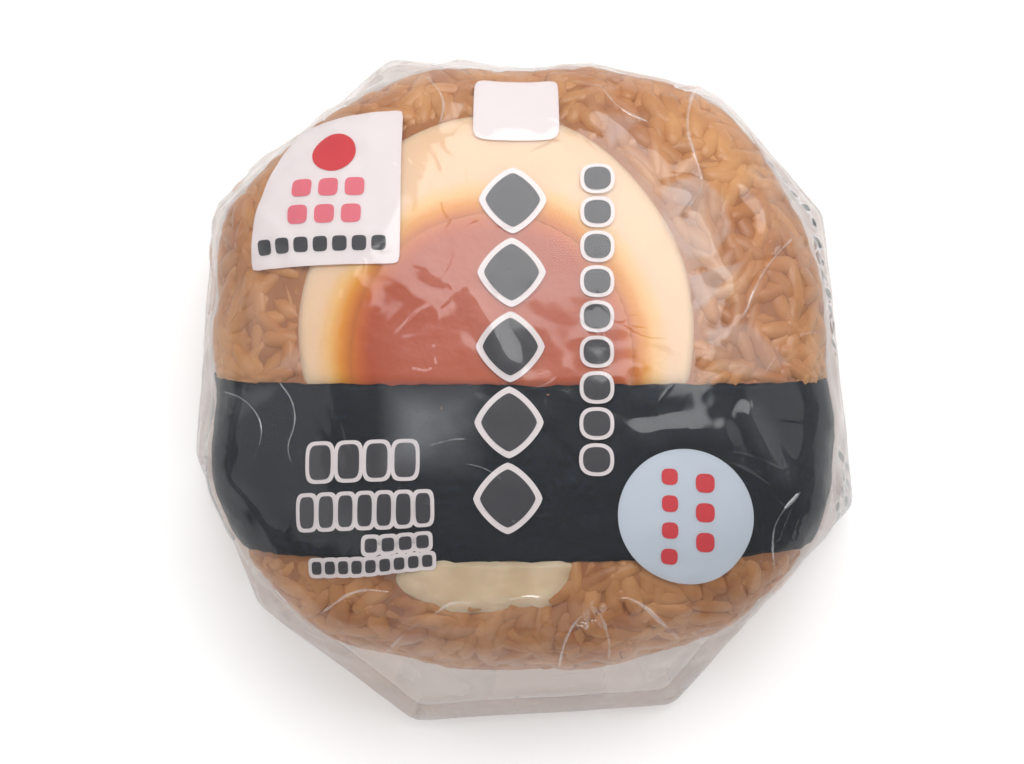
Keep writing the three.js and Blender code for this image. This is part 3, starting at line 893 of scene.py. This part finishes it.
def nearest_crease(points):
    """How far each place lies to one side of the nearest crease, and how far past its end."""
    x, y, z = points.T
    across, beyond, nearest = 0 * x, 0 * x + FAR, 0 * x + CREASE_REACH
    for sharpness, line in CREASES:
        for (from_x, from_y), (to_x, to_y) in zip(line, line[1:]):
            run_x, run_y = to_x - from_x, to_y - from_y
            away = off_line(x, y, [(from_x, from_y), (to_x, to_y)])
            side = (run_x * (y - from_y) - run_y * (x - from_x)) / math.hypot(run_x, run_y)
            closer = (away < nearest) & (z > CREASES_ABOVE)
            nearest = np.where(closer, away, nearest)
            scale = CREASE_FULL / sharpness
            across = np.where(closer, side * scale, across)
            beyond = np.where(closer, np.sqrt(np.maximum(away ** 2 - side ** 2, 0)) * scale, beyond)
    return across, beyond


def film_points():
    bearing = np.arange(FILM_COLUMNS) * math.tau / FILM_COLUMNS
    leaves, touch_r, touch_z, knee_r, knee_z, foot_r = film_at(bearing)
    at_knee = leaves + np.hypot(knee_r - touch_r, touch_z - knee_z)
    at_foot = at_knee + np.hypot(knee_r - foot_r, knee_z)
    starts = {"face": leaves * 0, "run": leaves, "foot": at_knee, "base": at_foot}
    ends = {"face": leaves, "run": at_knee, "foot": at_foot, "base": at_foot + foot_r * 0.985}
    away = np.degrees(bearing)[:, None] - [pleat[0] for pleat in PLEATS]
    fold = np.clip(1 - np.abs((away + 180) % 360 - 180).min(1) / 9, 0, 1)
    along, milky_and_sheen = [], []
    for part, count in FILM_ROWS.items():
        share = np.arange(1, count + 1)[:, None] / count
        along.append(starts[part] + (ends[part] - starts[part]) * share)
        doubled = 0.45 + 1.3 * (fanned_folds(np.degrees(bearing), share) > 0.05)
        milky_and_sheen.append({
            "face": 0.01 + 0.04 * np.clip(share * 5 - 4, 0, 1) + 0 * fold,
            "run": 0.01 + (0.17 + 0.25 * fold) * doubled * share ** 3,
            "foot": (0.18 + 0.25 * fold) * doubled[-1:] + 0 * share,
            "base": 0.16 + 0.25 * share + 0.14 * np.sign(flat_layers(np.degrees(bearing))),
        }[part])
    along = np.concatenate(along)
    turned = np.broadcast_to(bearing, along.shape)
    points = film_place(turned, along).reshape(-1, 3)
    across, beyond = nearest_crease(points)
    # Painted sheen: the film is whitened over its swells and its facets, standing in for reflections of the
    # lights.
    slack = np.where(points[:, 2] > CREASES_ABOVE, 0.12 * swells(points[:, 0], points[:, 1]), 0)
    slack += np.where(points[:, 2] > BALL_MIDDLE, facet_sheen(points[:, 0], points[:, 1]), 0)
    face_middle = film_place(np.array([0.0]), np.array([0.0]))
    points = np.concatenate([face_middle, points, [(0, 0, 0.3)]])
    faces = [(0, 1 + j, 1 + (j + 1) % FILM_COLUMNS) for j in range(FILM_COLUMNS)]
    faces += grid_faces(len(along), FILM_COLUMNS, start=1, closed=True)
    last = len(points) - 1
    first = last - FILM_COLUMNS
    faces += [(last, first + (j + 1) % FILM_COLUMNS, first + j) for j in range(FILM_COLUMNS)]
    milky_and_sheen = np.concatenate([[0.01], np.concatenate(milky_and_sheen).ravel() + slack, [0.5]])
    across, beyond = np.concatenate([[0], across, [0]]), np.concatenate([[FAR], beyond, [FAR]])
    return points, faces, {"milky_and_sheen": milky_and_sheen, "across_crease": across, "beyond_crease": beyond}


points, faces, values = film_points()
film = mesh_piece("clear_film", points, faces, values, wrapping_film())
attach(film, "root")


# The print. Inks lie on the inside of the film, so its gloss runs over them: white grounds, dark and red
# shapes on them, and a pale round patch.
INK_DEPTH = 0.1
GROUND_DEPTH = 0.17
INK_ROUGHNESS = 0.5


def ink(name, body, cover=1.0):
    s = Shades(name)
    worn = s.step(s.noise(700, 3, 0.6), 0.3, 0.8, 0.94, 1.0)
    pale = s.blend(worn, tuple(v * 0.9 for v in body[:3]) + (1,), body)
    shader = s.add("ShaderNodeBsdfPrincipled", Base_Color=pale, Roughness=INK_ROUGHNESS)
    if cover < 1:
        seen = s.add("ShaderNodeMixShader")
        s.put(seen, "#0", cover)
        s.put(seen, "#1", s.add("ShaderNodeBsdfTransparent"))
        s.put(seen, "#2", shader)
        shader = seen
    return s.done(shader)


def near_knee(degrees, inward):
    """A place in the flat print at a bearing, that far inward from where the film stands out widest."""
    leaves, touch_r, touch_z, knee_r, knee_z, foot_r = film_at(math.radians(degrees))
    along = leaves + np.hypot(knee_r - touch_r, touch_z - knee_z) - inward
    return along * math.cos(math.radians(degrees)), along * math.sin(math.radians(degrees))


class Printing:
    """Shapes in one ink, laid on the film where they are printed flat before it is wrapped."""

    def __init__(self, name, material, depth):
        self.name, self.material, self.depth = name, material, depth
        self.points, self.faces = [], []

    def shape(self, x, y, half_width, half_height, power=2.0, flare=0.0, turn=0.0, around=56, rings=14):
        """A superellipse: power 2 is round, 1 a diamond, and 6 or more a rectangle with round corners. Its
        left side flares out downward by a share of its width, and the whole is turned by degrees."""
        a = np.arange(around) * math.tau / around
        size = (np.abs(np.cos(a)) ** power + np.abs(np.sin(a)) ** power) ** (-1 / power)
        size = np.outer(np.arange(1, rings + 1) / rings, size)
        u, v = half_width * size * np.cos(a), half_height * size * np.sin(a)
        u = np.where(u < 0, u * (1 - flare * v / half_height), u)
        cos, sin = math.cos(math.radians(turn)), math.sin(math.radians(turn))
        flat_x, flat_y = x + np.append(0, u * cos - v * sin), y + np.append(0, u * sin + v * cos)
        start = len(self.points)
        self.points.extend(film_place(np.arctan2(flat_y, flat_x), np.hypot(flat_x, flat_y), -self.depth))
        self.faces += [(start, start + 1 + j, start + 1 + (j + 1) % around) for j in range(around)]
        self.faces += grid_faces(rings, around, start=start + 1, closed=True)

    def piece(self):
        piece = mesh_piece(self.name, self.points, self.faces, material=self.material)
        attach(piece, "root")


white_print = Printing("print_white", ink("white_ink", colour(236, 227, 228)), GROUND_DEPTH)
dark_print = Printing("print_dark", ink("dark_ink", colour(36, 37, 48), cover=0.85), INK_DEPTH)
red_print = Printing("print_red", ink("red_ink", colour(214, 52, 62)), INK_DEPTH)
pink_print = Printing("print_pink", ink("pink_ink", colour(228, 116, 132)), INK_DEPTH)
pale_print = Printing("print_pale", ink("pale_ink", colour(216, 226, 238), cover=0.88), GROUND_DEPTH)

# A blank patch at the top and the label at the upper left, with a disc and three rows of blocks.
white_print.shape(-1.0, 31.0, 5.3, 5.0, power=9, rings=18)
white_print.shape(-23.1, 20.2, 8.2, 10.2, power=30, flare=0.25, around=120, rings=34)
red_print.shape(-23.2, 24.8, 2.7, 2.7)
for i in range(3):
    pink_print.shape(-26.6 + 3.1 * i, 19.9, 1.15, 1.2, power=4, around=32, rings=5)
    pink_print.shape(-26.9 + 3.1 * i, 16.4, 1.15, 1.2, power=4, around=32, rings=5)
for i in range(7):
    dark_print.shape(-31.0 + 2.27 * i, 12.6, 0.85, 0.95, power=4, around=32, rings=4)

# Five large marks down the middle and nine small ones beside them.
for i in range(5):
    x, y = -1.4 - 0.15 * i, 18.0 - 9.1 * i
    white_print.shape(x, y, 4.1, 4.3, power=1.35)
    dark_print.shape(x, y, 3.3, 3.5, power=1.35)
for i in range(9):
    x, y = 8.8 - 0.04 * i, 20.7 - 4.3 * i
    white_print.shape(x, y, 2.05, 1.95, power=2.6, around=36, rings=8)
    dark_print.shape(x, y, 1.6, 1.5, power=2.6, around=36, rings=8)

# Four rows at the lower left: middle, height, half a block's width and height, pitch and number of blocks.
for x, y, half_width, half_height, pitch, count in (
    (-19.0, -13.6, 1.25, 2.0, 3.3, 4),
    (-18.7, -19.3, 0.85, 1.8, 2.25, 7),
    (-15.0, -23.3, 0.72, 0.8, 1.95, 4),
    (-18.0, -25.7, 0.6, 0.75, 1.6, 9),
):
    for i in range(count):
        place = x + pitch * (i - (count - 1) / 2)
        white_print.shape(place, y, half_width + 0.45, half_height + 0.45, power=4, around=40, rings=6)
        dark_print.shape(place, y, half_width, half_height, power=4, around=40, rings=6)

# The round patch at the lower right, with two columns of blocks.
pale_print.shape(18.9, -20.1, 7.9, 7.9, around=80, rings=24)
for i in range(4):
    red_print.shape(17.0, -15.5 - 3.1 * i, 0.95, 0.95, power=3, around=32, rings=4)
for i in range(3):
    red_print.shape(21.1, -16.1 - 3.4 * i, 1.1, 1.1, power=3, around=32, rings=4)

# Small marks of the back's print that come round the rim at the right, and two columns of them lower down.
for i in range(12):
    bearing = 40 - 3.2 * i
    reach = 1.7 if i < 5 else 3.6
    white_print.shape(*near_knee(bearing, 9.5), reach + 0.6, 1.1, power=3, turn=bearing, around=32, rings=8)
    dark_print.shape(*near_knee(bearing, 9.5), reach, 0.7, power=3, turn=bearing, around=32, rings=7)
for i in range(8):
    bearing = 345 - 2.8 * (i // 2)
    place = near_knee(bearing, 3.5 + 6.0 * (i % 2))
    dark_print.shape(*place, 2.4, 0.65, power=3, turn=bearing, around=32, rings=6)

for printing in (white_print, dark_print, red_print, pink_print, pale_print):
    printing.piece()


# The floor, the light and the camera: a pale sheet, soft boxes overhead and to the right, and a long lens
# that looks down on the face.
floor_material = Shades("pale_floor")
floor_body = floor_material.blend(
    floor_material.noise(30, 2), (0.91, 0.91, 0.91, 1), (0.93, 0.93, 0.93, 1)
)
floor_shader = floor_material.add(
    "ShaderNodeBsdfPrincipled",
    Base_Color=floor_body,
    Roughness=0.8,
    Emission_Color=(1, 1, 1, 1),
    Emission_Strength=0.18,
)
floor_material.done(floor_shader)
FLOOR_HALF = 3000.0
floor = mesh_piece(
    "floor",
    [(x * FLOOR_HALF, y * FLOOR_HALF, 0) for x, y in ((-1, -1), (1, -1), (1, 1), (-1, 1))],
    [(0, 1, 2, 3)],
    material=floor_material.material,
)

world = bpy.data.worlds.new("studio")
bpy.context.scene.world = world
world.use_nodes = True
# The room is bright behind the ball and overhead, and darker on the side of the viewer.
world_nodes = world.node_tree.nodes
direction = world_nodes.new("ShaderNodeTexCoord")
sideways = world_nodes.new("ShaderNodeSeparateXYZ")
brightness = world_nodes.new("ShaderNodeMapRange")
world.node_tree.links.new(direction.outputs["Generated"], sideways.inputs[0])
world.node_tree.links.new(sideways.outputs["Y"], brightness.inputs["Value"])
brightness.inputs["From Min"].default_value = -0.8
brightness.inputs["From Max"].default_value = 0.8
brightness.inputs["To Min"].default_value = 0.4
brightness.inputs["To Max"].default_value = 0.75
world_nodes["Background"].inputs["Color"].default_value = (1, 1, 1, 1)
world.node_tree.links.new(brightness.outputs[0], world_nodes["Background"].inputs["Strength"])


LIGHT_AIM = Vector((0, 0, 0.02))


def soft_box(name, place, width, height, power):
    lamp = bpy.data.lights.new(name, "AREA")
    lamp.shape = "RECTANGLE"
    lamp.size, lamp.size_y = width, height
    lamp.energy = power
    box = bpy.data.objects.new(name, lamp)
    box.location = place
    box.rotation_euler = (LIGHT_AIM - Vector(place)).to_track_quat("-Z", "Y").to_euler()
    bpy.context.collection.objects.link(box)


soft_box("top_box", (0.12, 0.38, 0.77), 0.7, 0.5, 4.2)
soft_box("right_box", (0.6, 0.15, 0.5), 0.5, 0.5, 0.55)
soft_box("left_box", (-0.6, 0.0, 0.5), 0.7, 0.7, 0.9)
soft_box("front_box", (-0.1, -0.7, 0.5), 0.6, 0.4, 0.5)

CAMERA_ELEVATION = 80
CAMERA_DISTANCE = 0.2935
CAMERA_LENS = 82
AIM_OFFSET = -0.0015
camera = bpy.data.objects.new("camera", bpy.data.cameras.new("camera"))
bpy.context.collection.objects.link(camera)
camera.data.lens = CAMERA_LENS
camera.data.sensor_width = 36
camera.data.clip_start = 0.01
aim = Vector((AIM_OFFSET, AIM_OFFSET, BALL_MIDDLE * MM))
tilt = math.radians(90 - CAMERA_ELEVATION)
camera.location = aim + Vector((0, -math.sin(tilt), math.cos(tilt))) * CAMERA_DISTANCE
camera.rotation_euler = (tilt, 0, 0)
bpy.context.scene.camera = camera
bpy.context.scene.view_settings.view_transform = "Standard"
